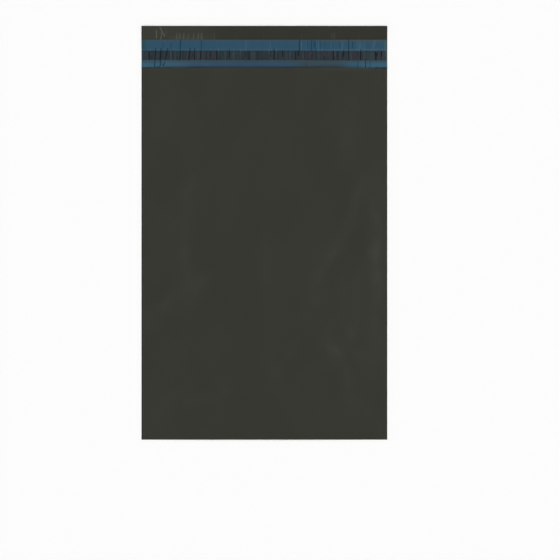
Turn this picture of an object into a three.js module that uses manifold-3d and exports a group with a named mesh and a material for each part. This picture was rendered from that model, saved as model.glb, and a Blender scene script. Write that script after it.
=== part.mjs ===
// Poly mailer bag, empty and lying flat: one folded film with welded sides, whose back panel runs on
// past the mouth as a flap. A hot-melt glue line lies on the flap under a blue release liner.
// Millimetres, +Z up, +Y towards the flap. The origin is under the middle of the bag, on the
// surface that it lies on.
import * as THREE from "three";
import { mergeVertices } from "three/addons/utils/BufferGeometryUtils.js";
import Module from "manifold-3d";

const { lerp, smoothstep } = THREE.MathUtils;
const wasm = await Module();
wasm.setup();

// Film
const BAG_WIDTH = 250; // across both side welds
const POCKET_DEPTH = 379; // from the bottom fold to the front panel's lip
const FILM_GAUGE = 0.06; // thickness of the film
const WELD_WIDTH = 2; // fused margin along each side
const WELD_BEAD = 0.2; // height of the melted bead on each trimmed side edge
const SEAL_GAP = 0.05; // room between the panels where they run into a weld
const FOLD_NOSE = 0.8; // length of the rounded nose of the bottom fold
const FOLD_TIP = 0.2; // share of the nose's height that its blunt tip keeps

// Loft: the room between the two panels
const FOLD_LOFT = 0.7; // just inside the bottom fold
const POCKET_LOFT = 6.2; // in the middle of the pocket
const LIP_LOFT = 5.8; // at the mouth, which stands a little open
const LOFT_POWER = 3; // how flat the loft stays across the bag before it falls to the welds
const FOLD_RISE = 110; // the loft grows over this length above the fold
const LIP_FALL = 90; // and falls over this length below the lip
const FLAP_CURL = 0.5; // rise of the flap's free edge

// Soft folds across the front panel. Ends are shares of the half width and of the pocket's depth.
const SOFT_FOLDS = [
  { from: [0.75, 0.64], to: [0.45, 0.4], width: 13, height: 0.8 },
  { from: [0.72, 0.44], to: [0.57, 0.25], width: 12, height: 0.7 },
  { from: [0.9, 0.62], to: [0.88, 0.24], width: 11, height: 0.8 },
  { from: [0.52, 0.26], to: [0.7, 0.1], width: 14, height: 0.8 },
  { from: [0.62, 0.9], to: [0.66, 0.76], width: 15, height: 0.6 },
  { from: [-0.62, 0.65], to: [-0.6, 0.43], width: 13, height: 0.7 },
  { from: [-0.82, 0.33], to: [-0.52, 0.4], width: 12, height: 0.7 },
  { from: [-0.6, 0.09], to: [-0.36, 0.13], width: 14, height: 0.6 },
];
const FOLD_FADE = 25; // a soft fold runs out over this length past its ends
const SIDE_FADE = 12; // and over this distance towards a weld

// The flap from the lip outwards: bare film, the liner's three bands, and a bare margin
const LIP_TO_LINER = 0.4;
const DRY_EDGE = 7.2; // liner below the glue
const GLUE_WIDTH = 9;
const LIFT_EDGE = 11.4; // liner above the glue, wide enough for a finger
const FLAP_MARGIN = 14;

// Glue line and release liner
const GLUE_THICKNESS = 0.04;
const LINER_GAUGE = 0.04;
const PUCKER_WIDTH = 2.2; // tunnels that stand up in the liner where the glue has shrunk
const PUCKER_SPACING = 4.8; // flat liner between two tunnels
const PUCKER_HEIGHT = 0.35;
const PUCKER_AT_EDGE = 0.3; // share of a tunnel's height that reaches the edges of the glue

// Facets
const FILM_STEP = 12; // grid of the front panel
const CURL_STEPS = 3; // rows of the bare flap above the liner

const HALF_WIDTH = BAG_WIDTH / 2;
const HALF_POCKET = HALF_WIDTH - WELD_WIDTH;
const FLAP_LENGTH = LIP_TO_LINER + DRY_EDGE + GLUE_WIDTH + LIFT_EDGE + FLAP_MARGIN;
const FOLD_Y = -(POCKET_DEPTH + FLAP_LENGTH) / 2;
const LIP_Y = FOLD_Y + POCKET_DEPTH;
const FLAP_Y = LIP_Y + FLAP_LENGTH;
const LINER_LOW = LIP_Y + LIP_TO_LINER;
const GLUE_LOW = LINER_LOW + DRY_EDGE;
const GLUE_HIGH = GLUE_LOW + GLUE_WIDTH;
const LINER_HIGH = GLUE_HIGH + LIFT_EDGE;
const GLUE_MIDDLE = (GLUE_LOW + GLUE_HIGH) / 2;

// Evenly spaced values from a to b, both included, in the given number of steps.
function spaced(a, b, steps) {
  return Array.from({ length: steps + 1 }, (_, i) => a + ((b - a) * i) / steps);
}

// A closed slab over a grid of columns (x) and rows (y), from under(x, y) up to over(x, y). Cells of
// its underside are split along the same diagonal as those on top, so a thin slab keeps its thickness.
function slab(columns, rows, under, over) {
  const across = columns.length - 1;
  const along = rows.length - 1;
  const geometry = new THREE.BoxGeometry(1, 1, 1, across, along, 1);
  const place = geometry.getAttribute("position");
  for (let i = 0; i < place.count; i++) {
    const x = columns[Math.round((place.getX(i) + 0.5) * across)];
    const y = rows[Math.round((place.getY(i) + 0.5) * along)];
    const surface = place.getZ(i) > 0 ? over : under;
    place.setXYZ(i, x, y, surface(x, y));
  }
  const corners = geometry.index.array;
  const underside = geometry.groups.at(-1);
  for (let i = underside.start; i < underside.start + underside.count; i += 6) {
    const [a, b, d, , c] = corners.subarray(i, i + 6);
    corners.set([a, b, c, a, c, d], i);
  }
  geometry.deleteAttribute("normal");
  geometry.deleteAttribute("uv");
  return mergeVertices(geometry);
}

function toSolid(geometry) {
  return new wasm.Manifold(
    new wasm.Mesh({
      numProp: 3,
      vertProperties: new Float32Array(geometry.getAttribute("position").array),
      triVerts: new Uint32Array(geometry.index.array),
    }),
  );
}

function toGeometry(solid) {
  const { vertProperties, triVerts } = solid.getMesh();
  return new THREE.BufferGeometry()
    .setAttribute("position", new THREE.BufferAttribute(vertProperties, 3))
    .setIndex(new THREE.BufferAttribute(triVerts, 1));
}

// Height of one soft fold at a point: a rounded ridge that runs out past both its ends.
function softFold({ from, to, width, height }, x, y) {
  const start = new THREE.Vector2(from[0] * HALF_WIDTH, FOLD_Y + from[1] * POCKET_DEPTH);
  const run = new THREE.Vector2(to[0] * HALF_WIDTH, FOLD_Y + to[1] * POCKET_DEPTH).sub(start);
  const length = run.length();
  const offset = new THREE.Vector2(x, y).sub(start);
  const along = offset.dot(run) / length;
  const aside = offset.cross(run) / length;
  const past = Math.max(-along, along - length, 0);
  return height * Math.exp(-((aside / width) ** 2) - (past / FOLD_FADE) ** 2);
}

// Room between the panels: a shallow pillow with the soft folds on it, closed at the welds.
function loft(x, y) {
  const inside = Math.max(0, HALF_POCKET - Math.abs(x));
  const pillow = 1 - (1 - inside / HALF_POCKET) ** LOFT_POWER;
  const fromFold = smoothstep(y - FOLD_Y, 0, FOLD_RISE);
  const fromLip = smoothstep(LIP_Y - y, 0, LIP_FALL);
  const rise = lerp(LIP_LOFT, lerp(FOLD_LOFT, POCKET_LOFT, fromFold), fromLip);
  const folds = SOFT_FOLDS.reduce((sum, fold) => sum + softFold(fold, x, y), 0);
  return SEAL_GAP + pillow * rise + folds * smoothstep(inside, 0, SIDE_FADE) * fromFold * fromLip;
}

// Outside height of the pouch: two films and their loft, or the pressed weld and its bead.
function pouchHeight(x, y) {
  const intoWeld = (Math.abs(x) - HALF_POCKET) / WELD_WIDTH;
  if (intoWeld > 0.75) return WELD_BEAD;
  if (intoWeld > 0.25) return 2 * FILM_GAUGE;
  return 2 * FILM_GAUGE + loft(x, y);
}

// Share of the full height at a distance from the tip of a rounded fold.
function noseShare(distance, nose) {
  const short = Math.max(0, 1 - distance / nose);
  return Math.max(FOLD_TIP, Math.sqrt(1 - short ** 2));
}

// Rows from a fold's tip over its rounded nose and on to the lip.
function pouchRows(tip, nose) {
  const steps = Math.round(POCKET_DEPTH / FILM_STEP);
  return [tip, tip + nose * 0.15, tip + nose * 0.5, ...spaced(FOLD_Y + FOLD_NOSE, LIP_Y, steps)];
}

// Rise of the flap above the surface that the bag lies on.
function flapRise(y) {
  const out = Math.max(0, y - LIP_Y) / FLAP_LENGTH;
  return FLAP_CURL * out ** 2;
}

function flapTop(y) {
  return flapRise(y) + FILM_GAUGE;
}

// The bag's film, one body: the pouch and its flap, with the pocket cut out of the pouch.
function bagFilm() {
  const inner = spaced(-HALF_POCKET, HALF_POCKET, Math.round((2 * HALF_POCKET) / FILM_STEP));
  const land = HALF_POCKET + WELD_WIDTH / 2;
  const columns = [-HALF_WIDTH, -land, ...inner, land, HALF_WIDTH];
  const outside = (x, y) => ({
    height: pouchHeight(x, y),
    share: noseShare(y - FOLD_Y, FOLD_NOSE),
  });
  const pouch = slab(
    columns,
    pouchRows(FOLD_Y, FOLD_NOSE),
    (x, y) => (outside(x, y).height * (1 - outside(x, y).share)) / 2,
    (x, y) => (outside(x, y).height * (1 + outside(x, y).share)) / 2,
  );

  const innerNose = FOLD_NOSE - FILM_GAUGE;
  const innerTip = FOLD_Y + FILM_GAUGE;
  const pocketShare = (y) => noseShare(y - innerTip, innerNose);
  const pocket = slab(
    inner,
    [...pouchRows(innerTip, innerNose), LIP_Y + FLAP_LENGTH],
    (x, y) => FILM_GAUGE + (loft(x, y) * (1 - pocketShare(y))) / 2,
    (x, y) => FILM_GAUGE + (loft(x, y) * (1 + pocketShare(y))) / 2,
  );

  const flapRows = [
    LIP_Y - WELD_WIDTH,
    LIP_Y,
    LINER_LOW,
    GLUE_LOW,
    GLUE_MIDDLE,
    GLUE_HIGH,
    ...spaced(LINER_HIGH, FLAP_Y, CURL_STEPS),
  ];
  const flap = slab([-HALF_WIDTH, HALF_WIDTH], flapRows, (x, y) => flapRise(y), (x, y) => flapTop(y));
  return toGeometry(toSolid(pouch).subtract(toSolid(pocket)).add(toSolid(flap)));
}

// The glue line, pressed flat under the liner and cut off with the bag's sides.
function glueLine() {
  return slab(
    [-HALF_WIDTH, HALF_WIDTH],
    [GLUE_LOW, GLUE_MIDDLE, GLUE_HIGH],
    (x, y) => flapTop(y),
    (x, y) => flapTop(y) + GLUE_THICKNESS,
  );
}

// A fixed irregular value from 0 to 1 for each whole number.
function irregular(n) {
  return (Math.abs(Math.sin(n * 12.9898)) * 43758.5453) % 1;
}

// Middles and heights of the tunnels along the liner, unevenly spaced but never touching.
function puckers() {
  const pitch = PUCKER_WIDTH + PUCKER_SPACING;
  const count = Math.floor((BAG_WIDTH - PUCKER_SPACING) / pitch);
  return Array.from({ length: count }, (_, i) => ({
    x: (i - (count - 1) / 2) * pitch + (irregular(i + 1) - 0.5) * 0.8 * PUCKER_SPACING,
    height: PUCKER_HEIGHT * (0.4 + 0.6 * irregular(i + 101)),
  }));
}

// The release liner: a strip over the glue, with tunnels across it that fade out on its dry edges.
function releaseLiner() {
  const tunnels = puckers();
  const half = PUCKER_WIDTH / 2;
  const columns = [-HALF_WIDTH, ...tunnels.flatMap(({ x }) => [x - half, x, x + half]), HALF_WIDTH];
  const peaks = new Map(tunnels.map(({ x, height }) => [x, height]));
  const reach = new Map([
    [GLUE_LOW, PUCKER_AT_EDGE],
    [GLUE_MIDDLE, 1],
    [GLUE_HIGH, PUCKER_AT_EDGE],
  ]);
  const under = (x, y) => flapTop(y) + GLUE_THICKNESS + (peaks.get(x) ?? 0) * (reach.get(y) ?? 0);
  return slab(
    columns,
    [LINER_LOW, GLUE_LOW, GLUE_MIDDLE, GLUE_HIGH, LINER_HIGH],
    under,
    (x, y) => under(x, y) + LINER_GAUGE,
  );
}

function piece(name, geometry, material) {
  const mesh = new THREE.Mesh(geometry, new THREE.MeshStandardMaterial(material));
  mesh.name = name;
  return mesh;
}

const mailer = new THREE.Group();
mailer.name = "poly_mailer_bag";
mailer.add(
  piece("bag_film", bagFilm(), { color: 0x383932, roughness: 0.45, metalness: 0 }),
  piece("glue_line", glueLine(), { color: 0x2c3236, roughness: 0.3, metalness: 0 }),
  piece("release_liner", releaseLiner(), { color: 0x324f63, roughness: 0.35, metalness: 0 }),
);

export default mailer;
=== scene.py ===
import math
import random

import bpy
import numpy as np
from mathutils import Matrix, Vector
from mathutils.bvhtree import BVHTree


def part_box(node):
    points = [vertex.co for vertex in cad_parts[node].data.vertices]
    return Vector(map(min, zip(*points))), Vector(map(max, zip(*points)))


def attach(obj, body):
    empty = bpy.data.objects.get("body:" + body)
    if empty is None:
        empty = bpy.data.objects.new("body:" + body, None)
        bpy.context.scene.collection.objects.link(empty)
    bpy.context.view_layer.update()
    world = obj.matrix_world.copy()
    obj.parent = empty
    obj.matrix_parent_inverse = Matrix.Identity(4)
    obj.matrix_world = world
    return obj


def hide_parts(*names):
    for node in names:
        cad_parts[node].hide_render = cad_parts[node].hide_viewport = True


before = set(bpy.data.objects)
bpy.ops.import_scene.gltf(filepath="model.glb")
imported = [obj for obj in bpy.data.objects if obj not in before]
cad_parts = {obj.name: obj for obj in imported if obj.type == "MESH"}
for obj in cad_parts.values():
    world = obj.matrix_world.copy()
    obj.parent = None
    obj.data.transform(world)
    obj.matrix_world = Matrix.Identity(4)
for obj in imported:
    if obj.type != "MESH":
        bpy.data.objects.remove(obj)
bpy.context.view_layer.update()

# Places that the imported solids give, in metres
mm = 0.001
near = mm / 100  # places this close count as one
filmLow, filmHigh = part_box("bag_film")
glueLow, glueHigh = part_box("glue_line")
linerLow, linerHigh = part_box("release_liner")
halfWidth = filmHigh.x
foldY = filmLow.y
flapY = filmHigh.y

# The bag's film, as it is cut, folded and welded
filmCut = {
    "gauge": 0.06 * mm,
    "lipGap": 0.4 * mm,  # bare flap between the mouth's line and the liner
    "lipSlack": 0.25 * mm,  # how far the front panel's lip stands back from that line
    "lipBackLeft": (80 * mm, 110 * mm, 0.4 * mm),  # more of that by the welds: from, to and how far
    "lipBackRight": (60 * mm, 110 * mm, 0.8 * mm),
    "weld": 2 * mm,
    "cell": 2 * mm,  # mesh across the bag and along the front panel
    "backCell": 10 * mm,  # mesh along the flat back panel
    "noseLength": 0.8 * mm,  # rounded end of the bottom fold
    "noseCuts": 5,
}
lipY = linerLow.y - filmCut["lipGap"]
noseY = foldY + filmCut["noseLength"]
filmMiddle = filmCut["gauge"] / 2
pressedHeight = 3 * filmMiddle  # middle of the front panel where it lies on the back panel
columns = round(2 * halfWidth / filmCut["cell"])
sharpAngle = math.radians(40)  # edges sharper than this aren't shaded smooth


# Small steps of modelling

def startAlone():
    if bpy.context.object and bpy.context.object.mode != "OBJECT":
        bpy.ops.object.mode_set(mode="OBJECT")
    bpy.ops.object.select_all(action="DESELECT")


def pick(*objs):
    startAlone()
    for obj in objs:
        obj.select_set(True)
    bpy.context.view_layer.objects.active = objs[0]


def addGrid(name, low, high, across, along):
    startAlone()
    middle = ((low[0] + high[0]) / 2, (low[1] + high[1]) / 2, 0)
    bpy.ops.mesh.primitive_grid_add(
        x_subdivisions=across, y_subdivisions=along, size=1, location=middle,
    )
    grid = bpy.context.object
    grid.name = name
    grid.scale = (high[0] - low[0], high[1] - low[1], 1)
    bpy.ops.object.transform_apply(location=True, rotation=True, scale=True)
    return grid


def points(obj):
    flat = np.empty(len(obj.data.vertices) * 3)
    obj.data.vertices.foreach_get("co", flat)
    return flat.reshape(-1, 3)


def setPoints(obj, places):
    obj.data.vertices.foreach_set("co", places.ravel())
    obj.data.update()


def setValue(obj, name, values):
    layer = obj.data.attributes.get(name) or obj.data.attributes.new(name, "FLOAT", "POINT")
    layer.data.foreach_set("value", np.asarray(values, dtype=float))


def setGroup(obj, name, weights):
    group = obj.vertex_groups.new(name=name)
    for index in np.flatnonzero(weights):
        group.add([int(index)], float(weights[index]), "REPLACE")


def applyModifier(obj, kind, **settings):
    pick(obj)
    modifier = obj.modifiers.new(kind.title(), kind)
    for key, value in settings.items():
        setattr(modifier, key, value)
    bpy.ops.object.modifier_apply(modifier=modifier.name)


# Goes into edit mode with only the wanted faces or edges selected, by the places of their corners
def editOnly(obj, kind, wanted):
    pick(obj)
    bpy.ops.object.mode_set(mode="EDIT")
    bpy.ops.mesh.select_mode(type=kind)
    bpy.ops.mesh.select_all(action="DESELECT")
    bpy.ops.object.mode_set(mode="OBJECT")
    items = obj.data.polygons if kind == "FACE" else obj.data.edges
    for item in items:
        item.select = wanted([obj.data.vertices[corner].co for corner in item.vertices])
    bpy.ops.object.mode_set(mode="EDIT")


def finishSheet(obj, gauge):
    applyModifier(obj, "SOLIDIFY", thickness=gauge, offset=0)
    pick(obj)
    bpy.ops.object.shade_smooth_by_angle(angle=sharpAngle)


def smoothStep(low, high, value):
    share = np.clip((value - low) / (high - low), 0, 1)
    return share * share * (3 - 2 * share)


# Share of the way along a line from one point to another, and distance to it, seen from above
def byLine(places, start, end):
    run = np.subtract(end, start)
    share = np.clip(((places[:, :2] - start) @ run) / (run @ run), 0, 1)
    return share, np.linalg.norm(places[:, :2] - start - share[:, None] * run, axis=1)


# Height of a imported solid's top, read straight down
def topOf(solid):
    tree = BVHTree.FromObject(solid, bpy.context.evaluated_depsgraph_get())
    down = Vector((0, 0, -1))
    inset = 1 - 1e-4  # keeps the outermost points off the solid's very edge

    def height(places):
        return np.array([
            tree.ray_cast(Vector((x * inset, y * inset, 1)), down)[0].z for x, y in places[:, :2]
        ])

    return height


filmTop = topOf(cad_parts["bag_film"])

# Front panel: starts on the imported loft, then settles as film with a little slack across the bag
frontPanel = {
    "smoothing": 25,
    "goal": 0.05,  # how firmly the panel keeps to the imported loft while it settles
    "border": 30 * mm,  # towards the welds and the fold the hold grows to a full one
    "slack": 0.0014,  # share of the width
    "frames": 24,
    "farthest": 1.2 * mm,  # cap on how far a point may move
    "softening": 10,  # rounds of smoothing after the settling, as "smoothing" before it
    "whitenedAndLit": 0.11 * mm,  # a point this far above the mean of its neighbours gets the full whitening and painted highlight
    "whitenedAndLitSpread": 8,  # rounds of evening out
    "creaseHeight": 0.35 * mm,
    "creaseFade": 14 * mm,  # a crease runs out over this length past its ends
    "creaseUneven": 0.25,
    "creaseWobble": 1.2 * mm,
    "wobbleLengths": (53 * mm, 31 * mm),
    "rippleHeight": 0.65 * mm,  # of the puckers along the welds, which have drawn the film in
    "rippleLengths": (47 * mm, 29 * mm, 19 * mm),
    "rippleRise": 7 * mm,  # from the weld to a ripple's crest
    "rippleReach": 14 * mm,
    "rippleLean": 0.35,
    "ripplePhase": 1.7,
    "lipWave": 0.35 * mm,
    "lipLengths": (83 * mm, 47 * mm, 29 * mm),
    "lipPhase": 2.1,
    "lipReach": 35 * mm,
}
# The film as cloth
filmRules = {
    "quality": 5,
    "mass": 0.02,
    "tension_stiffness": 30,
    "compression_stiffness": 30,
    "shear_stiffness": 15,
    "bending_stiffness": 4,
    "tension_damping": 8,
    "compression_damping": 8,
    "shear_damping": 8,
    "bending_damping": 0.5,
    "pin_stiffness": 1,
    "use_pressure": True,
    "uniform_pressure_force": 0.3,
}


# Mean of a few sine waves, each with a phase of its own
def waves(run, lengths, phase):
    parts = [np.sin(2 * np.pi * run / length + phase * (n + 1)) for n, length in enumerate(lengths)]
    return sum(parts) / len(parts)


def settle(panel, start, hold):
    setGroup(panel, "hold", hold)
    pick(panel)
    panel.shape_key_add(name="start")
    slackShape = panel.shape_key_add(name="slack")
    slackShape.data.foreach_set("co", (start * (1 + frontPanel["slack"], 1, 1)).ravel())
    cloth = panel.modifiers.new("Settle", "CLOTH")
    for key, value in filmRules.items():
        setattr(cloth.settings, key, value)
    cloth.settings.vertex_group_mass = "hold"
    cloth.settings.rest_shape_key = slackShape
    cloth.settings.effector_weights.gravity = 0
    cloth.collision_settings.use_collision = False
    cloth.point_cache.frame_end = frontPanel["frames"]
    scene = bpy.context.scene
    for number in range(1, frontPanel["frames"] + 1):
        scene.frame_set(number)
    settled = points(panel.evaluated_get(bpy.context.evaluated_depsgraph_get()))
    panel.modifiers.remove(cloth)
    panel.shape_key_clear()
    scene.frame_set(1)
    return settled


# Each point of a grid becomes the mean of its four neighbours
def evenOut(grid, times):
    for _ in range(times):
        around = np.pad(grid, 1, mode="edge")
        grid = (around[:-2, 1:-1] + around[2:, 1:-1] + around[1:-1, :-2] + around[1:-1, 2:]) / 4
    return grid


# How far the lip, and the liner's lower edge with it, stand back by the welds
def lipBack(x):
    left, right = filmCut["lipBackLeft"], filmCut["lipBackRight"]
    return left[2] * smoothStep(*left[:2], -x) + right[2] * smoothStep(*right[:2], x)


# Ridges stretch the film, which pales it a little, and get a painted highlight: the higher a point
# stands above its neighbours, the paler it is drawn
def markRidges(panel, rows):
    height = points(panel)[:, 2].reshape(rows, columns + 1)
    ridges = np.clip((height - evenOut(height, 1)) / frontPanel["whitenedAndLit"], 0, 1)
    setValue(panel, "crease", evenOut(ridges, frontPanel["whitenedAndLitSpread"]).ravel())


# Creases from handling: ends as mm from the left side and up from the fold, sideways bow at the
# middle and width in mm, and strength
handlingCreases = [
    {"from": (48, 258), "to": (46, 160), "bow": 3, "width": 4.0, "strength": 0.7},
    {"from": (23, 136), "to": (62, 161), "bow": -3, "width": 4.0, "strength": 0.9},
    {"from": (54, 40), "to": (77, 46), "bow": 2, "width": 5.0, "strength": 1.0},
    {"from": (127, 206), "to": (126, 170), "bow": 2, "width": 4.0, "strength": 0.5},
    {"from": (139, 73), "to": (156, 101), "bow": 3, "width": 4.0, "strength": 0.6},
    {"from": (206, 320), "to": (214, 293), "bow": 3, "width": 5.0, "strength": 0.9},
    {"from": (220, 252), "to": (183, 175), "bow": -6, "width": 4.0, "strength": 1.0},
    {"from": (204, 156), "to": (209, 114), "bow": 2, "width": 4.0, "strength": 0.9},
    {"from": (218, 153), "to": (214, 110), "bow": -3, "width": 3.5, "strength": 0.6},
    {"from": (188, 99), "to": (221, 88), "bow": 4, "width": 5.0, "strength": 0.9},
    {"from": (197, 88), "to": (211, 42), "bow": -4, "width": 4.5, "strength": 0.8},
    {"from": (239, 214), "to": (240, 156), "bow": 2, "width": 3.0, "strength": 0.7},
    {"from": (12, 18), "to": (44, 52), "bow": -4, "width": 4.0, "strength": 0.5},
    {"from": (238, 16), "to": (216, 38), "bow": 3, "width": 4.0, "strength": 0.5},
]


def creasePanel(panel):
    places = points(panel)
    seen = places[:, :2] - (-halfWidth, foldY)
    for number, crease in enumerate(handlingCreases):
        start, end = (np.array(crease[key]) * mm for key in ("from", "to"))
        length = np.linalg.norm(end - start)
        run = (end - start) / length
        along, aside = (seen - start) @ run, (seen - start) @ (run[1], -run[0])
        share = np.clip(along / length, 0, 1)
        aside -= crease["bow"] * mm * 4 * share * (1 - share)
        aside -= frontPanel["creaseWobble"] * waves(along, frontPanel["wobbleLengths"], number)
        past = np.maximum(np.maximum(-along, along - length), 0)
        spread = (aside / (crease["width"] * mm)) ** 2 / 2 + (past / frontPanel["creaseFade"]) ** 2
        wave = waves(along, frontPanel["wobbleLengths"], number + 0.5)
        uneven = 1 - frontPanel["creaseUneven"] * (1 - wave)
        places[:, 2] += frontPanel["creaseHeight"] * crease["strength"] * uneven * np.exp(-spread)
    setPoints(panel, places)


# Puckers along both welds, and a lip that doesn't lie quite even
def ripple(panel):
    places = points(panel)
    x, y = places[:, 0], places[:, 1]
    fromWeld = np.clip(halfWidth - filmCut["weld"] - np.abs(x), 0, None)
    reach = smoothStep(0, frontPanel["rippleRise"], fromWeld)
    reach *= np.exp(-fromWeld / frontPanel["rippleReach"])
    reach *= smoothStep(noseY, noseY + frontPanel["border"], y)
    run = y + frontPanel["rippleLean"] * fromWeld
    phase = frontPanel["ripplePhase"] + np.sign(x)
    places[:, 2] += frontPanel["rippleHeight"] * reach * waves(run, frontPanel["rippleLengths"], phase)
    atLip = smoothStep(lipY - frontPanel["lipReach"], lipY, y)
    atLip *= smoothStep(0, frontPanel["border"], fromWeld)
    lipWave = frontPanel["lipWave"] * waves(x, frontPanel["lipLengths"], frontPanel["lipPhase"])
    places[:, 2] += lipWave * atLip
    places[:, 2] = np.maximum(places[:, 2], pressedHeight)
    places[:, 1] -= lipBack(x) * smoothStep(lipY - frontPanel["lipReach"], lipY, y)
    setPoints(panel, places)


def makeFront():
    low, high = (-halfWidth, noseY), (halfWidth, lipY - filmCut["lipSlack"])
    rows = round((high[1] - low[1]) / filmCut["cell"])
    panel = addGrid("frontPanel", low, high, columns, rows)
    places = points(panel)
    places[:, 2] = filmTop(places) - filmMiddle
    fromWeld = halfWidth - filmCut["weld"] - np.abs(places[:, 0])
    places[fromWeld < -filmCut["weld"] / 2, 2] = pressedHeight
    setPoints(panel, places)
    free = (fromWeld > mm / 2) & (places[:, 1] - noseY > mm / 2)
    setGroup(panel, "free", free.astype(float))
    relaxing = {"factor": 0.5, "use_x": False, "use_y": False, "vertex_group": "free"}
    applyModifier(panel, "SMOOTH", iterations=frontPanel["smoothing"], **relaxing)
    start = points(panel)
    fromBorder = np.minimum(fromWeld, places[:, 1] - noseY) - mm / 2
    loose = (1 - frontPanel["goal"]) * smoothStep(0, frontPanel["border"], fromBorder)
    moved = settle(panel, start, 1 - loose) - start
    far = np.linalg.norm(moved, axis=1, keepdims=True)
    print("front panel settled by up to", round(far.max() / mm, 2), "mm")
    setPoints(panel, start + moved * np.minimum(1, frontPanel["farthest"] / np.maximum(far, 1e-9)))
    applyModifier(panel, "SMOOTH", iterations=frontPanel["softening"], **relaxing)
    panel.vertex_groups.clear()
    creasePanel(panel)
    markRidges(panel, rows + 1)
    ripple(panel)
    return panel


# Back panel and flap: one flat grid with closer rows on the flap
flap = {
    "cell": 2 * mm,
    "creased": (10 * mm, 80 * mm),  # from the left side: margin with a closer mesh
    "sharplyCreased": (12 * mm, 27 * mm),
    "wave": 0.14 * mm,  # unevenness of the free edge
    "waveLengths": (61 * mm, 37 * mm, 23 * mm),
    "wavePhase": 2.1,
    "creaseHeight": 0.16 * mm,
    "creaseWidth": 0.62 * mm,
    "puckerHeight": 0.2 * mm,
    "puckerWidth": 1.0 * mm,
    "puckerReach": 8 * mm,  # how far a pucker runs up from the liner
    "puckerFade": 0.7,  # share of its reach where its colour starts to fade
    "puckerLean": 0.06,
    "puckerWhitenedAndLit": 0.6,
}

# Sharp creases in the bare margin: ends as (from the left side, down from the free edge) and strength
marginCreases = [
    {"from": (18.0, 0.4), "to": (19.1, 2.0), "strength": 0.5},
    {"from": (19.1, 2.0), "to": (23.6, 10.6), "strength": 1.0},
    {"from": (15.2, 4.4), "to": (15.2, 12.4), "strength": 0.9},
    {"from": (20.6, 7.6), "to": (19.5, 13.7), "strength": 0.75},
    {"from": (18.2, 6.1), "to": (20.4, 8.1), "strength": 0.35},
    {"from": (25.2, 6.2), "to": (25.0, 8.0), "strength": 0.3},
]
# Puckers that stand up from the liner's edge, by their distance from the left side, and strength
marginPuckers = [
    (35.6, 0.6), (38.6, 0.65), (42.7, 0.7), (47.3, 0.45), (52.9, 0.5), (57.5, 0.7), (61.0, 0.8),
    (73.8, 0.3), (96.0, 0.12), (124.0, 0.1), (163.0, 0.12), (193.5, 0.3), (196.0, 0.4), (221.0, 0.12),
]


def makeBack():
    backRows = round((lipY - noseY) / filmCut["backCell"])
    flapRows = round((flapY - lipY) / flap["cell"])
    sheet = addGrid("backPanel", (-halfWidth, 0), (halfWidth, 1), columns, backRows + flapRows)
    places = points(sheet)
    row = np.round(places[:, 1] * (backRows + flapRows))
    onBack = row <= backRows
    places[:, 1] = np.where(
        onBack,
        noseY + (lipY - noseY) * row / backRows,
        lipY + (flapY - lipY) * (row - backRows) / flapRows,
    )
    setPoints(sheet, places)
    closerMesh(sheet, lipY, 0, 2 * halfWidth)
    closerMesh(sheet, linerHigh.y, *flap["creased"])
    closerMesh(sheet, linerHigh.y, *flap["sharplyCreased"])
    pick(sheet)
    bpy.ops.object.mode_set(mode="EDIT")
    bpy.ops.mesh.select_all(action="SELECT")
    bpy.ops.mesh.flip_normals()
    startAlone()
    shapeFlap(sheet)
    return sheet


def closerMesh(sheet, above, left, right):
    def inside(corners):
        middle = sum(corners, Vector()) / len(corners)
        return middle.y > above and left < middle.x + halfWidth < right

    editOnly(sheet, "FACE", inside)
    bpy.ops.mesh.subdivide(number_cuts=1)
    startAlone()


def shapeFlap(sheet):
    places = points(sheet)
    onFlap = places[:, 1] - lipY > near
    places[:, 2] = filmMiddle
    places[onFlap, 2] = filmTop(places[onFlap]) - filmMiddle
    x, fromEdge = places[:, 0] + halfWidth, flapY - places[:, 1]
    onMargin = smoothStep(linerHigh.y, flapY, places[:, 1])
    places[:, 2] += flap["wave"] * onMargin * (1 + waves(x, flap["waveLengths"], flap["wavePhase"]))
    # Creases and puckers are drawn paler: whitening of the film and painted highlight on their crests
    whitenedAndLit = np.zeros(len(places))
    for crease in marginCreases:
        start, end = (np.array(crease[key]) * mm for key in ("from", "to"))
        along, away = byLine(np.column_stack([x, fromEdge]), start, end)
        share = crease["strength"] * np.clip(1 - away / flap["creaseWidth"], 0, 1)
        places[:, 2] += flap["creaseHeight"] * share * 4 * along * (1 - along)
        whitenedAndLit = np.maximum(whitenedAndLit, share)
    fromLiner = places[:, 1] - linerHigh.y
    reach = flap["puckerReach"]
    upright = smoothStep(reach, flap["puckerFade"] * reach, fromLiner) * (fromLiner > -mm)
    runOut = smoothStep(0, mm, fromLiner) * np.clip(1 - fromLiner / reach, 0, 1)
    for place, strength in marginPuckers:
        middle = place * mm + flap["puckerLean"] * fromLiner
        share = strength * upright * np.clip(1 - np.abs(x - middle) / flap["puckerWidth"], 0, 1)
        places[:, 2] += flap["puckerHeight"] * share * runOut
        whitenedAndLit = np.maximum(whitenedAndLit, flap["puckerWhitenedAndLit"] * share)
    setPoints(sheet, places)
    setValue(sheet, "crease", whitenedAndLit)


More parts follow.
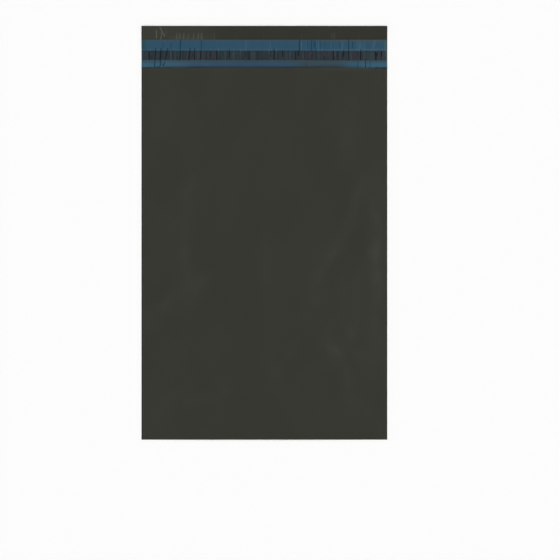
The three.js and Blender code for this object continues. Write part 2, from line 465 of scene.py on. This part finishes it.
# Bottom fold: a row of cuts between the panels, bent round
def roundFold(film):
    editOnly(film, "EDGE", lambda ends: all(abs(end.y - noseY) < near for end in ends))
    bpy.ops.mesh.bridge_edge_loops(number_cuts=filmCut["noseCuts"], interpolation="LINEAR")
    bpy.ops.mesh.select_all(action="SELECT")
    bpy.ops.mesh.normals_make_consistent(inside=False)
    startAlone()
    places = points(film)
    onNose = np.abs(places[:, 1] - noseY) < near
    for x in np.unique(np.round(places[onNose, 0], 6)):
        here = onNose & (np.abs(places[:, 0] - x) < near)
        height = places[here, 2]
        low, high = height.min(), height.max()
        angle = np.pi * np.argsort(np.argsort(height)) / (len(height) - 1)
        places[here, 1] = noseY - (filmCut["noseLength"] - filmMiddle) * np.sin(angle)
        places[here, 2] = (low + high) / 2 - (high - low) / 2 * np.cos(angle)
    setPoints(film, places)


# Beads of melted film along the trimmed sides
sideBead = {
    "radius": 0.11 * mm,
    "flapRadius": 0.07 * mm,
    "sides": 8,
    "step": 3 * mm,
    "wobble": 0.3,  # share of the radius
    # paling of the bead: whitening of the film and painted highlight
    "whitenedAndLit": 0.25,
    "inset": 0.999,  # share of the half width where the flap's height is read
    "seed": 11,
    "flapSeed": 21,
}


def makeBead(name, side, low, high, radius, seed):
    startAlone()
    bpy.ops.mesh.primitive_cylinder_add(vertices=sideBead["sides"], radius=radius, depth=high - low)
    bead = bpy.context.object
    bead.name = name
    bead.rotation_euler = (math.radians(90), 0, 0)
    bead.location = (side * (halfWidth - radius), (low + high) / 2, 0)
    bpy.ops.object.transform_apply(location=True, rotation=True, scale=True)
    cuts = round((high - low) / sideBead["step"])
    editOnly(bead, "EDGE", lambda ends: abs(ends[0].y - ends[1].y) > radius)
    bpy.ops.mesh.subdivide(number_cuts=cuts)
    startAlone()
    draw = random.Random(seed)
    swell = [1 + sideBead["wobble"] * draw.uniform(-1, 1) for _ in range(cuts + 2)]
    places = points(bead)
    row = np.round((places[:, 1] - low) / (high - low) * (cuts + 1)).astype(int)
    size = np.array(swell)[row]
    places[:, 0] = side * halfWidth + (places[:, 0] - side * halfWidth) * size
    places[:, 2] = places[:, 2] * size + radius * (1 + sideBead["wobble"])
    if low > lipY - mm:
        inset = np.full(len(places), side * halfWidth * sideBead["inset"])
        middle = np.column_stack([inset, places[:, 1]])
        places[:, 2] += filmTop(middle) - filmCut["gauge"] - radius * sideBead["wobble"]
    setPoints(bead, places)
    setValue(bead, "crease", np.full(len(places), sideBead["whitenedAndLit"]))
    return bead


def makeFilm():
    front = makeFront()
    print("front panel creased")
    back = makeBack()
    print("back panel and flap shaped")
    pick(back, front)
    bpy.ops.object.join()
    back.name = "mailerFilm"
    roundFold(back)
    finishSheet(back, filmCut["gauge"])
    beads = []
    for side, label in ((-1, "Left"), (1, "Right")):
        seed, flapSeed = sideBead["seed"] + side, sideBead["flapSeed"] + side
        beads += [
            makeBead("weldBead" + label, side, noseY, lipY, sideBead["radius"], seed),
            makeBead("flapBead" + label, side, lipY, flapY, sideBead["flapRadius"], flapSeed),
        ]
    pick(back, *beads)
    bpy.ops.object.join()
    return back


# Release liner: a strip over the glue line, crinkled across where the glue has pulled it; the crinkles
# carry painted shade in their folds and painted glints
liner = {
    "gauge": 0.04 * mm,
    "glue": 0.04 * mm,
    "cell": 0.5 * mm,
    "height": 0.34 * mm,  # of the strongest crinkle
    "width": 1.0 * mm,  # half of its foot
    "endFade": 1.2 * mm,
    "fineGap": (1.3 * mm, 3.4 * mm),  # between the fine crinkles that are drawn at random
    "fineStrength": (0.12, 0.5),
    "fineWidth": (0.4, 0.8),  # shares of the full width
    "fineLow": (2, 5),  # mm above the glue's lower edge, for one that doesn't start at it
    "fineHigh": (4, 7),  # the same for one that doesn't reach the glue's upper edge
    "finePast": (0.5, 2),  # mm that one may run past that edge
    "fineLean": 0.05,
    "fineDark": 0.6,  # share of them painted with shade, while the rest get a painted glint
    "lowerLift": 0.8 * mm,  # rise of the lower dry edge at the strip's ends
    "lowerLiftMiddle": 0.3 * mm,
    "lowerWaves": ((17 * mm, 0, 0.3), (7.3 * mm, 1, 0.25)),  # run of one radian, phase and share
    "upperLift": 0.22 * mm,
    "upperWaves": ((13 * mm, 2, 0.5), (5.1 * mm, 0, 0.4)),
    "dip": 0.55 * mm,  # how far the lower edge hangs down near the strip's ends
    "dipFrom": (70 * mm, 90 * mm),  # from the middle
    "seed": 7,
}
# Strong crinkles, in mm: place along the strip from its left end, lowest and highest point above the
# glue line's lower edge, lean (sideways for each mm up) and strength
strongCrinkles = [
    (7.8, 0, 7.5, 0, 0.7), (14.1, -1, 11, 0.06, 1), (13.4, -8, -1, 0, 0.65),
    (19.3, -1, 11, 0.06, 1), (19.4, -4.5, -1, 0, 0.9), (18, -8, -5, 0, 0.4),
    (23, -5, -2.6, 0.6, 0.8), (25.3, 0, 11, 0.2, 1), (21.8, 12, 17, 0, 0.3),
    (30, 11, 17, 0.05, 0.4), (31.5, 0, 8, 0, 0.4), (36.6, 0, 3, 0, 0.5), (39.2, 0, 10, 0.05, 1),
    (39.6, 10, 20, 0.05, 0.65), (48.7, 0, 11, 0.12, 1), (53.9, 0, 11, 0, 0.7),
    (60.2, 0, 9, 0.05, 0.7), (60.8, 9, 20, 0.03, 0.5), (62.8, 12, 18, 0, 0.2),
    (66.6, 0, 9, 0, 0.3), (69.2, 0, 8, 0, 0.35), (76.3, 0, 9.5, 0, 0.65),
    (89.5, 2.5, 10.5, 0, 0.6), (105.8, 3.5, 9, 0, 0.5), (109.4, 0, 8, -0.05, 0.45),
    (118.1, 0, 8, 0, 0.35), (131.3, 3.5, 9, 0, 0.4), (135.1, 0, 10.5, 0.03, 0.75),
    (143.5, 3.5, 10, 0, 0.55), (156.7, 0, 8, 0, 0.6), (159.8, 4, 9, 0, 0.6),
    (160.9, 9, 20, 0.03, 0.7), (167.4, -7, -3, 0, 0.35), (173.5, 0, 8, 0, 0.3),
    (173, 9, 20, 0, 0.5), (186, 0, 4, 0, 0.5), (195.4, 0, 9, 0, 0.65), (199.8, 0, 9, 0, 0.4),
    (205.6, 3.5, 10, 0, 0.6), (210.7, 0, 20, 0, 0.6), (214.8, 12, 18, 0, 0.5),
    (222.9, 0, 10, 0, 1), (220, -7, -1, 0, 0.4), (228, -7, 0, 0, 0.6), (232.6, -7, -1, 0, 0.35),
    (238.4, 0, 8, -0.06, 1), (239.4, 3, 7, 0.2, 0.8), (244.3, 3.5, 9, 0, 0.8),
]
# Light glints, mostly on the dry upper edge, in the same terms
glints = [
    (24.2, -7, -1, 0.25, 0.6), (78.3, 9, 11, 0, 0.8), (100.7, 9, 11, 0, 0.8),
    (106.4, 9, 19, 0.02, 1), (125.2, 9, 11, 0, 0.5), (129.4, 9, 11, 0, 0.8),
    (131.1, 9, 19, 0, 0.8), (137.3, 9, 11, 0, 0.9), (133, -6, 0, 0.05, 0.5),
    (162.9, 10, 19, 0, 0.9), (208.7, 10, 19, 0, 0.5), (221.5, 9, 16, 0, 0.5),
    (224, 10, 17, 0.05, 0.6), (227, 10, 16, 0, 0.4), (235.6, 11, 19, 0.28, 0.9),
    (237.2, 12, 19, 0.28, 0.9),
]


# Share of a crinkle at each place: full on its line, none past its foot and its ends
def crinkleShare(x, above, crinkle, width):
    place, low, high, lean, strength = crinkle
    middle = (low + high) / 2 * mm
    away = np.abs(x - place * mm - lean * (above - middle)) / width
    fade = liner["endFade"]
    reach = smoothStep(low * mm - fade, low * mm, above)
    reach *= smoothStep(high * mm + fade, high * mm, above)
    return strength * np.clip(1 - away, 0, 1) * reach


def drawFineCrinkles():
    draw = random.Random(liner["seed"])
    band = (glueHigh.y - glueLow.y) / mm
    crinkles = []
    x = draw.uniform(*liner["fineGap"])
    while x < 2 * halfWidth:
        low = draw.choice((0, 0, draw.uniform(*liner["fineLow"])))
        within, past = draw.uniform(*liner["fineHigh"]), band + draw.uniform(*liner["finePast"])
        high = draw.choice((band, band, within, past))
        strength = draw.uniform(*liner["fineStrength"])
        lean = draw.uniform(-liner["fineLean"], liner["fineLean"])
        crinkles.append((x / mm, low, high, lean, strength))
        x += draw.uniform(*liner["fineGap"])
    return crinkles


# One plus a few sine waves along the strip
def wander(x, terms):
    return 1 + sum(share * np.sin(x / run + phase) for run, phase, share in terms)


# Lifts the two dry edges off the flap, and lets the lower one hang down near the strip's ends
def liftEdges(places):
    x, y = places[:, 0], places[:, 1]
    ends, middle = liner["lowerLift"], liner["lowerLiftMiddle"]
    lift = middle + (ends - middle) * (np.abs(x) / halfWidth) ** 3
    below, above = smoothStep(glueLow.y, linerLow.y, y), smoothStep(glueHigh.y, linerHigh.y, y)
    places[:, 2] += lift * wander(x, liner["lowerWaves"]) * below**2
    places[:, 2] += liner["upperLift"] * wander(x, liner["upperWaves"]) * above**2
    dip = liner["dip"] * smoothStep(*liner["dipFrom"], np.abs(x)) + lipBack(x)
    places[:, 1] -= dip * below


def makeLiner():
    low, high = (-halfWidth, linerLow.y), (halfWidth, linerHigh.y)
    across, along = (round((high[n] - low[n]) / liner["cell"]) for n in (0, 1))
    strip = addGrid("releaseLiner", low, high, across, along)
    places = points(strip)
    places[:, 2] = filmTop(places) + liner["glue"] + liner["gauge"] / 2
    fromLeft, above = places[:, 0] + halfWidth, places[:, 1] - glueLow.y
    liftEdges(places)
    dark, light = np.zeros(len(places)), np.zeros(len(places))
    for crinkle in strongCrinkles:
        share = crinkleShare(fromLeft, above, crinkle, liner["width"])
        places[:, 2] += liner["height"] * share
        dark = np.maximum(dark, share)
    draw = random.Random(liner["seed"] + 1)
    for crinkle in drawFineCrinkles():
        width = draw.uniform(*liner["fineWidth"]) * liner["width"]
        share = crinkleShare(fromLeft, above, crinkle, width)
        places[:, 2] += liner["height"] * share
        if draw.random() < liner["fineDark"]:
            dark = np.maximum(dark, share)
        else:
            light = np.maximum(light, share)
    for glint in glints:
        light = np.maximum(light, crinkleShare(fromLeft, above, glint, liner["width"]))
    light *= np.clip(1 - 2 * dark, 0, 1)  # a dark crinkle hides the glints by it
    setPoints(strip, places)
    # Painted shade of the crinkles' folds, and painted glints, as attributes for the material
    setValue(strip, "crinkle", dark)
    setValue(strip, "glint", light)
    finishSheet(strip, liner["gauge"])
    return strip


# Shader nodes: a wire carries a node's output, and its arithmetic adds Math nodes

class Wire:
    def __init__(self, finish, socket):
        self.finish = finish
        self.socket = socket

    def math(self, operation, *values):
        return self.finish.add("ShaderNodeMath", {"operation": operation}, dict(enumerate(values)))

    def __add__(self, other):
        return self.math("ADD", self, other)

    def __radd__(self, other):
        return self.math("ADD", other, self)

    def __sub__(self, other):
        return self.math("SUBTRACT", self, other)

    def __rsub__(self, other):
        return self.math("SUBTRACT", other, self)

    def __mul__(self, other):
        return self.math("MULTIPLY", self, other)

    def __rmul__(self, other):
        return self.math("MULTIPLY", other, self)

    def __abs__(self):
        return self.math("ABSOLUTE", self)


class Finish:
    def __init__(self, owner):
        owner.use_nodes = True
        self.owner = owner
        self.tree = owner.node_tree
        self.tree.nodes.clear()

    def add(self, kind, settings, sockets, output=0):
        node = self.tree.nodes.new(kind)
        for key, value in settings.items():
            setattr(node, key, value)
        for key, value in sockets.items():
            if isinstance(value, Wire):
                self.tree.links.new(value.socket, node.inputs[key])
            else:
                node.inputs[key].default_value = value
        return Wire(self, node.outputs[output]) if node.outputs else None

    def place(self, stretch=(1, 1, 1)):
        where = self.add("ShaderNodeTexCoord", {}, {}, "Object")
        return self.add("ShaderNodeMapping", {}, {"Vector": where, "Scale": stretch})

    def axis(self, number):
        return self.add("ShaderNodeSeparateXYZ", {}, {"Vector": self.place()}, number)

    def noise(self, stretch, detail, roughness=0.5):
        sockets = {"Vector": self.place(stretch), "Scale": 1, "Detail": detail, "Roughness": roughness}
        return self.add("ShaderNodeTexNoise", {}, sockets)

    def value(self, name):
        return self.add("ShaderNodeAttribute", {"attribute_name": name}, {}, "Fac")

    def ramp(self, value, low, high):
        sockets = {0: value, 1: low, 2: high}
        return self.add("ShaderNodeMapRange", {"interpolation_type": "SMOOTHSTEP"}, sockets)

    def within(self, value, low, high, fade):
        return self.ramp(value, low - fade, low) * self.ramp(value, high + fade, high)

    def tint(self, share, one, other):
        return self.add("ShaderNodeMix", {"data_type": "RGBA"}, {0: share, 6: one, 7: other}, 2)

    def bump(self, height, distance, strength):
        sockets = {"Height": height, "Distance": distance, "Strength": strength}
        return self.add("ShaderNodeBump", {}, sockets)

    def surface(self, sockets):
        shader = self.add("ShaderNodeBsdfPrincipled", {}, sockets)
        self.add("ShaderNodeOutputMaterial", {}, {"Surface": shader})
        return self.owner


filmFinish = {
    "colour": (0.0320, 0.0330, 0.0252, 1),
    "mottle": (0.0337, 0.0345, 0.0267, 1),
    "whitenedAndLit": (0.130, 0.130, 0.115, 1),
    "edge": (0.0060, 0.0062, 0.0045, 1),
    "paleMargin": 0.055,  # shares of the pale colour, which stands for whitening and painted highlight
    "paleByLiner": 0.1,
    "paleWeld": 0.05,
    # painted highlight along the lip's edge
    "lipHighlight": 0.015,
    "lipHighlightMore": 0.045,
    "paleCrease": 0.75,
    "paleMarginCrease": 0.9,
    "darkMargin": 0.13,  # shares of the edge's colour
    "edgeShade": 0.75,
    "shadedEdge": 1.1 * mm,  # width of the painted shade line along the flap's free edge and the sides
    "roughness": 0.4,
    "roughnessSpread": 0.1,
    "weldRoughness": -0.08,
    "specular": 0.14,
    "gloss": 0.25,  # a thin clear skin over the matt body
    "glossRoughness": 0.15,
    "relief": 0.02 * mm,
    "clouds": (26, 14, 26),  # noise: cells in a metre along x, y and z
    "grain": (700, 700, 700),
    "dieLines": (9, 1300, 9),
    "creasePatches": (60, 40, 60),
    "leftMargin": (-40 * mm, -75 * mm),  # across the bag: where a change starts and where it is full
    "puckeredMargin": (-100 * mm, -92 * mm),
    "litLip": (60 * mm, 105 * mm, 10 * mm),  # from, to, and how far it fades out
}


def filmMaterial():
    film = Finish(bpy.data.materials.new("blackFilm"))
    x, y = film.axis(0), film.axis(1)
    cloudy = film.ramp(film.noise(filmFinish["clouds"], 3), 0.35, 0.7)
    grain = film.noise(filmFinish["grain"], 2)
    dieLines = film.noise(filmFinish["dieLines"], 1)
    colour = film.tint(cloudy, filmFinish["colour"], filmFinish["mottle"])
    # Margin of the flap: paler on the left, most of all by its puckers, and darker on the right
    onMargin = film.ramp(y, linerHigh.y - mm, linerHigh.y)
    leftPart = film.ramp(x, *filmFinish["leftMargin"])
    byLiner = film.ramp(y, linerHigh.y + 6 * mm, linerHigh.y)
    byLiner = byLiner * film.ramp(x, *filmFinish["puckeredMargin"])
    pale = filmFinish["paleMargin"] + filmFinish["paleByLiner"] * byLiner
    colour = film.tint(onMargin * leftPart * pale, colour, filmFinish["whitenedAndLit"])
    colour = film.tint(onMargin * (1 - leftPart) * filmFinish["darkMargin"], colour, filmFinish["edge"])
    # Welds: a paler line along their inner edge
    fromSide = halfWidth - abs(x)
    onWeld = film.ramp(fromSide, filmCut["weld"], filmCut["weld"] - 0.3 * mm)
    weldLine = film.ramp(abs(fromSide - filmCut["weld"]), 0.8 * mm, 0.2 * mm)
    colour = film.tint(weldLine * filmFinish["paleWeld"], colour, filmFinish["whitenedAndLit"])
    # Lip: a painted highlight along its edge, where it catches the light, most of all on the right
    byLip = film.ramp(y, lipY - 6 * mm, lipY - 1.5 * mm) * film.ramp(y, lipY + 0.2 * mm, lipY)
    litPart = film.within(x, *filmFinish["litLip"])
    pale = filmFinish["lipHighlight"] + filmFinish["lipHighlightMore"] * litPart
    colour = film.tint(byLip * pale, colour, filmFinish["whitenedAndLit"])
    # Creases: paler, partly from whitening of the film and partly as painted highlight on their crests;
    # sharp ones on the margin, patchy ones on the front panel
    patches = film.ramp(film.noise(filmFinish["creasePatches"], 2), 0.38, 0.66)
    onPanel = (1 - onMargin) * filmFinish["paleCrease"] * (0.4 + 0.6 * patches)
    pale = film.value("crease") * (filmFinish["paleMarginCrease"] * onMargin + onPanel)
    colour = film.tint(pale, colour, filmFinish["whitenedAndLit"])
    # Trimmed edges: a painted shade line along the flap's free edge and the sides
    fromEdge = fromSide.math("MINIMUM", fromSide, flapY - y)
    shadedEdge = film.ramp(fromEdge, filmFinish["shadedEdge"], 0.4 * filmFinish["shadedEdge"])
    colour = film.tint(shadedEdge * filmFinish["edgeShade"], colour, filmFinish["edge"])
    uneven = (grain - 0.5) + 0.5 * (cloudy - 0.5)
    roughness = filmFinish["roughness"] + filmFinish["roughnessSpread"] * uneven
    roughness = roughness + filmFinish["weldRoughness"] * onWeld
    return film.surface({
        "Base Color": colour,
        "Roughness": roughness,
        "IOR": 1.51,
        "Specular IOR Level": filmFinish["specular"],
        "Coat Weight": filmFinish["gloss"],
        "Coat Roughness": filmFinish["glossRoughness"],
        "Normal": film.bump(dieLines * 0.6 + grain * 0.4, filmFinish["relief"], 0.35),
    })


linerFinish = {
    "dry": (0.0238, 0.0720, 0.1205, 1),
    # deep: darker streaks on the dry edge, and painted shade in the crinkles there
    "deep": (0.0040, 0.0340, 0.0680, 1),
    "teal": (0.0335, 0.1085, 0.1440, 1),
    "green": (0.0430, 0.1050, 0.1100, 1),
    "darkGreen": (0.0160, 0.0580, 0.0620, 1),
    "pale": (0.0510, 0.0720, 0.0790, 1),
    "grey": (0.0395, 0.0780, 0.1000, 1),
    "warmGrey": (0.0450, 0.0680, 0.0780, 1),
    # painted highlight along the curled lower edge
    "blueHighlight": (0.0400, 0.1000, 0.1780, 1),
    "tealHighlight": (0.0280, 0.1080, 0.1720, 1),
    "wet": (0.0173, 0.0282, 0.0364, 1),
    "wetPale": (0.0330, 0.0465, 0.0535, 1),
    "wetViolet": (0.0280, 0.0240, 0.0335, 1),
    # black: painted shade in the crinkles on the glued band
    "black": (0.0010, 0.0025, 0.0040, 1),
    # painted shade along the creased edges of the glue band
    "rimShade": (0.0040, 0.0200, 0.0300, 1),
    # lowRim: painted shade along the strip's lower edge; it also darkens the right end of the upper
    # edge
    "lowRim": (0.0180, 0.0340, 0.0400, 1),
    "glint": (0.0700, 0.1150, 0.1400, 1),
    "roughness": 0.36,
    "roughnessSpread": 0.12,
    "wetRoughness": 0.06,
    "specular": 0.28,
    "relief": 0.03 * mm,
}
# Noise: cells in a metre along x, y and z
linerNoise = {
    "streaks": (520, 12, 1),
    "hairlines": (650, 25, 1),
    "teeth": (480, 60, 1),
    "waver": (420, 1, 1),
    "ragged": (150, 1, 1),
    "patchy": (90, 60, 1),
    "violet": (160, 90, 1),
    "fine": (900, 300, 900),
}
# Along the strip, in mm from its middle: where a change starts and where it is full
linerPlaces = {
    "lowGlue": (30, 70),
    "paleTop": (40, 80),
    "strongFringe": (45, 85),
    "paleBand": (85, 105),
    "tealLeft": (-85, -100),
    "tealRight": (78, 105),
    "hungLeft": (-80, -110),
    "hungRight": (60, 100),
    "rightCorner": (104, 112),
    "shadedLeft": (-80, -105),
    "shadedRight": (100, 112),
}
# Parts of the strip, in the same terms: from, to, and how far they fade out
streakedPart = (36, 98, 8)
greyPart = (45, 72, 20)
violetParts = [(-74, -54, 8), (38, 66, 10), (88, 98, 4), (115, 120, 4)]


def grows(tape, x, place):
    start, full = linerPlaces[place]
    return tape.ramp(x, start * mm, full * mm)


def onPart(tape, x, part):
    return tape.within(x, *(place * mm for place in part))


# Dry edge above the glue: even on the left, streaked on the right, and greener at both ends
def upperEdge(tape, x, y):
    streaks = tape.noise(linerNoise["streaks"], 3, 0.65)
    streaked = 0.1 + 0.6 * onPart(tape, x, streakedPart)
    lighter = tape.ramp(streaks, 0.52, 0.66) * streaked
    darker = tape.ramp(streaks, 0.48, 0.36) * streaked
    colour = tape.tint(lighter, linerFinish["dry"], linerFinish["teal"])
    colour = tape.tint(darker, colour, linerFinish["deep"])
    leftEnd = tape.ramp(x + halfWidth, 6.5 * mm, 1.5 * mm)
    colour = tape.tint(leftEnd * 0.8, colour, linerFinish["darkGreen"])
    fromRight = halfWidth - x
    greenLine = tape.within(fromRight, 1.2 * mm, 2.6 * mm, 0.5 * mm)
    colour = tape.tint(greenLine, colour, linerFinish["green"])
    rightEnd = tape.ramp(fromRight, 1.2 * mm, 0.6 * mm)
    colour = tape.tint(rightEnd * 0.8, colour, linerFinish["lowRim"])
    topEdge = tape.ramp(y, linerHigh.y - 2.6 * mm, linerHigh.y - 1.2 * mm)
    paler = 0.3 + 0.5 * grows(tape, x, "paleTop")
    return tape.tint(topEdge * paler, colour, linerFinish["pale"])


# Dry edge below the glue: greyish, with a painted highlight line along it where the edge curls up, and
# painted shade lowest down at its ends
def lowerEdge(tape, x, y, colour):
    below = tape.ramp(y, glueLow.y + mm, glueLow.y - mm)
    colour = tape.tint(below * 0.85, colour, linerFinish["grey"])
    grey = onPart(tape, x, greyPart)
    colour = tape.tint(below * grey * 0.8, colour, linerFinish["warmGrey"])
    # Painted highlight where the lower edge curls up to the light
    teal = grows(tape, x, "tealLeft") + grows(tape, x, "tealRight")
    highlightColour = tape.tint(teal, linerFinish["blueHighlight"], linerFinish["tealHighlight"])
    line = tape.ramp(y, linerLow.y + 4.6 * mm, linerLow.y + 3.2 * mm)
    patchy = 0.75 + 1.2 * (tape.noise(linerNoise["patchy"], 2) - 0.5)
    colour = tape.tint(line * patchy * (1 - 0.75 * grey), colour, highlightColour)
    # Painted shade along the strip's lower edge, mostly at its ends
    ragged = tape.ramp(tape.noise(linerNoise["ragged"], 2), 0.4, 0.6)
    hung = grows(tape, x, "hungLeft") * (0.25 * mm) + grows(tape, x, "hungRight") * (0.7 * mm)
    hung = hung - grows(tape, x, "rightCorner") * (0.4 * mm)
    lowest = tape.ramp(y + hung, linerLow.y + 0.5 * mm, linerLow.y - 0.2 * mm)
    atEnds = 0.15 + 0.85 * (grows(tape, x, "shadedLeft") + grows(tape, x, "shadedRight"))
    return tape.tint(lowest * atEnds * (0.3 + 0.7 * ragged), colour, linerFinish["lowRim"])


# Glued band: wetted through to the black film, with fine upright lines
def gluedBand(tape, x):
    hairlines = tape.noise(linerNoise["hairlines"], 2, 0.6)
    band = tape.tint(tape.ramp(hairlines, 0.5, 0.72), linerFinish["wet"], linerFinish["wetPale"])
    patches = tape.ramp(tape.noise(linerNoise["violet"], 1), 0.35, 0.65)
    violet = sum(onPart(tape, x, part) for part in violetParts) * patches
    band = tape.tint(violet * 0.75, band, linerFinish["wetViolet"])
    return tape.tint(grows(tape, x, "paleBand") * 0.4, band, linerFinish["wetPale"])


# Edges of the band: a painted glint fringe just above it, and a painted shade line where the liner
# creases at each edge
def bandEdges(tape, x, y, level, colour):
    teeth = tape.ramp(tape.noise(linerNoise["teeth"], 2), 0.4, 0.65)
    fringe = tape.ramp(abs(y - (glueHigh.y + 1.3 * mm)), 1.2 * mm, 0.3 * mm)
    fringed = 0.08 + 0.3 * teeth + 0.22 * grows(tape, x, "strongFringe")
    colour = tape.tint(fringe * fringed, colour, linerFinish["glint"])
    rimShade = tape.ramp(abs(level - glueHigh.y), 0.75 * mm, 0.15 * mm)
    rimShade = rimShade + 0.5 * tape.ramp(abs(level - glueLow.y), 0.6 * mm, 0.1 * mm)
    return tape.tint(rimShade * 0.75, colour, linerFinish["rimShade"])


def linerMaterial():
    tape = Finish(bpy.data.materials.new("blueLiner"))
    x, y = tape.axis(0), tape.axis(1)
    # The glue's edges waver, and lie a little lower on the right
    waver = (tape.noise(linerNoise["waver"], 2) - 0.5) * (0.8 * mm)
    level = y + waver + 0.15 * mm + grows(tape, x, "lowGlue") * (0.4 * mm)
    fade = 0.3 * mm
    wet = tape.within(level, glueLow.y + fade, glueHigh.y - fade, 2 * fade)
    colour = lowerEdge(tape, x, y, upperEdge(tape, x, y))
    colour = tape.tint(wet, colour, gluedBand(tape, x))
    colour = bandEdges(tape, x, y, level, colour)
    # Crinkles: painted shade in their folds, blacker on the glued band; then the painted glints
    crease = tape.tint(wet, linerFinish["deep"], linerFinish["black"])
    colour = tape.tint(tape.ramp(tape.value("crinkle"), 0, 0.55), colour, crease)
    colour = tape.tint(tape.value("glint") * 0.6, colour, linerFinish["glint"])
    fine = tape.noise(linerNoise["fine"], 2)
    uneven = linerFinish["roughnessSpread"] * (fine - 0.5) + linerFinish["wetRoughness"] * wet
    return tape.surface({
        "Base Color": colour,
        "Roughness": linerFinish["roughness"] + uneven,
        "IOR": 1.5,
        "Specular IOR Level": linerFinish["specular"],
        "Normal": tape.bump(fine, linerFinish["relief"], 0.3),
    })


glueFinish = {
    "colour": (0.030, 0.034, 0.036, 1),
    "bubbles": (0.045, 0.046, 0.040, 1),
    "roughness": 0.22,
    "bubbleRoughness": 0.15,
    "relief": 0.02 * mm,
    "bubbleNoise": (380, 380, 380),
}


def glueMaterial():
    glue = Finish(bpy.data.materials.new("hotMeltGlue"))
    bubbles = glue.ramp(glue.noise(glueFinish["bubbleNoise"], 2), 0.5, 0.7)
    return glue.surface({
        "Base Color": glue.tint(bubbles, glueFinish["colour"], glueFinish["bubbles"]),
        "Roughness": glueFinish["roughness"] + glueFinish["bubbleRoughness"] * bubbles,
        "IOR": 1.48,
        "Normal": glue.bump(bubbles, glueFinish["relief"], 0.4),
    })


film = makeFilm()
film.data.materials.append(filmMaterial())
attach(film, "root")
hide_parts("bag_film")
print("film finished,", len(film.data.polygons), "faces")

strip = makeLiner()
strip.data.materials.append(linerMaterial())
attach(strip, "root")
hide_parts("release_liner")
print("release liner finished,", len(strip.data.polygons), "faces")

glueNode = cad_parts["glue_line"]
glueNode.data.materials.clear()
glueNode.data.materials.append(glueMaterial())

# Room: pale floor under a soft sky that is brightest all round at middle height
room = {
    "floorSize": 24,
    "floorColour": (0.97, 0.97, 0.965, 1),
    "floorRoughness": 0.9,
    "floorTooth": (900, 900, 1),
    "floorRelief": 0.05 * mm,
    "horizon": (0.25, 0.25, 0.25, 1),
    "around": (2.1, 2.1, 2.1, 1),
    "overhead": (0.2, 0.2, 0.2, 1),
    "brightFrom": (0.28, 0.55),  # sines of the elevation over which the sky grows brighter
    "brightTo": (0.85, 0.60),  # and dimmer again
}
# Soft suns, with their angles in degrees
suns = {
    "keyLamp": {"level": 0.45, "azimuth": 150, "elevation": 38, "softness": 40},
    "fillLamp": {"level": 0.2, "azimuth": 20, "elevation": 38, "softness": 40},
}


def makeFloor():
    startAlone()
    bpy.ops.mesh.primitive_plane_add(size=room["floorSize"], location=(0, 0, 0))
    floor = bpy.context.object
    floor.name = "floor"
    paper = Finish(bpy.data.materials.new("floorPaper"))
    tooth = paper.noise(room["floorTooth"], 2)
    floor.data.materials.append(paper.surface({
        "Base Color": room["floorColour"],
        "Roughness": room["floorRoughness"],
        "Normal": paper.bump(tooth, room["floorRelief"], 0.2),
    }))


def makeSky():
    world = bpy.data.worlds.new("studio")
    bpy.context.scene.world = world
    sky = Finish(world)
    where = sky.add("ShaderNodeTexCoord", {}, {}, "Generated")
    up = sky.add("ShaderNodeSeparateXYZ", {}, {"Vector": where}, "Z")
    colour = sky.tint(sky.ramp(up, *room["brightFrom"]), room["horizon"], room["around"])
    colour = sky.tint(sky.ramp(up, *room["brightTo"]), room["overhead"], colour)
    light = sky.add("ShaderNodeBackground", {}, {"Color": colour})
    sky.add("ShaderNodeOutputWorld", {}, {"Surface": light})


def addSun(name, level, azimuth, elevation, softness):
    startAlone()
    bpy.ops.object.light_add(type="SUN")
    lamp = bpy.context.object
    lamp.name = name
    lamp.data.energy = level
    lamp.data.angle = math.radians(softness)
    lamp.rotation_euler = (math.radians(90 - elevation), 0, math.radians(azimuth))


makeFloor()
makeSky()
for name, sun in suns.items():
    addSun(name, **sun)
print("room lit")

# Camera: straight above, so that the bag lies in the frame as it does in the photograph
shot = {
    "frameWidth": 569.9 * mm,  # of the floor, over the picture's width
    "right": 15.91 * mm,  # of the bag's middle
    "below": 48.02 * mm,
    "lens": 250,  # long, as the photograph shows no perspective
    "sensor": 36,
}
startAlone()
bpy.ops.object.camera_add(rotation=(0, 0, 0))
camera = bpy.context.object
camera.location = (shot["right"], -shot["below"], shot["frameWidth"] * shot["lens"] / shot["sensor"])
camera.data.lens = shot["lens"]
camera.data.sensor_width = shot["sensor"]
bpy.context.scene.camera = camera
bpy.context.scene.view_settings.view_transform = "Standard"
